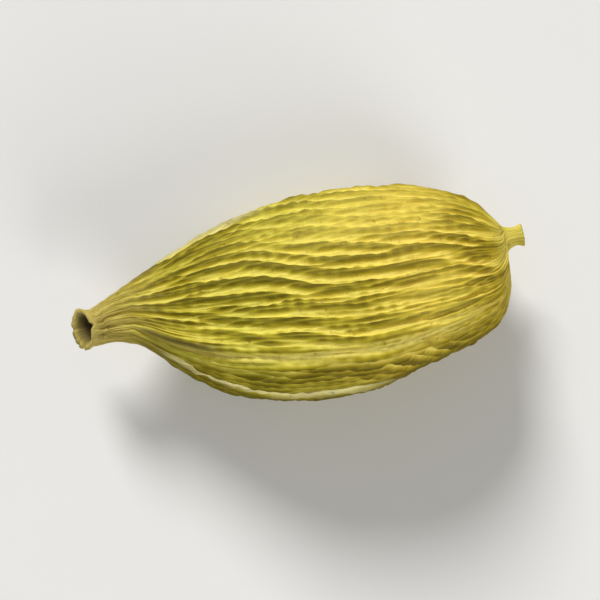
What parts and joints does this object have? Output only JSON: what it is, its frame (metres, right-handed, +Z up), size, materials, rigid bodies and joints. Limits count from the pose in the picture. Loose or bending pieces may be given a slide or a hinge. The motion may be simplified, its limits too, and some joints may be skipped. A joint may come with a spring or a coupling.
{
  "type": "green cardamom pod",
  "caption": "Dried green cardamom pod lying on its side: a ribbed, bluntly triangular husk with a narrow beak and a short stalk stub, used whole as a spice.",
  "frame": {"origin": "on the resting surface, under the middle of the pod's length and width", "axes": "+X along the pod from the beak to the stalk stub, +Y across the pod towards its thinnest ridge, +Z up from the flat spot"},
  "size_m": [0.0174, 0.008, 0.0068],
  "materials": {
    "dried_husk": "satin-matt dried plant husk, straw green, ribbed"
  },
  "bodies": {
    "root": {"cardamom_pod": "dried_husk"}
  },
  "joints": []
}
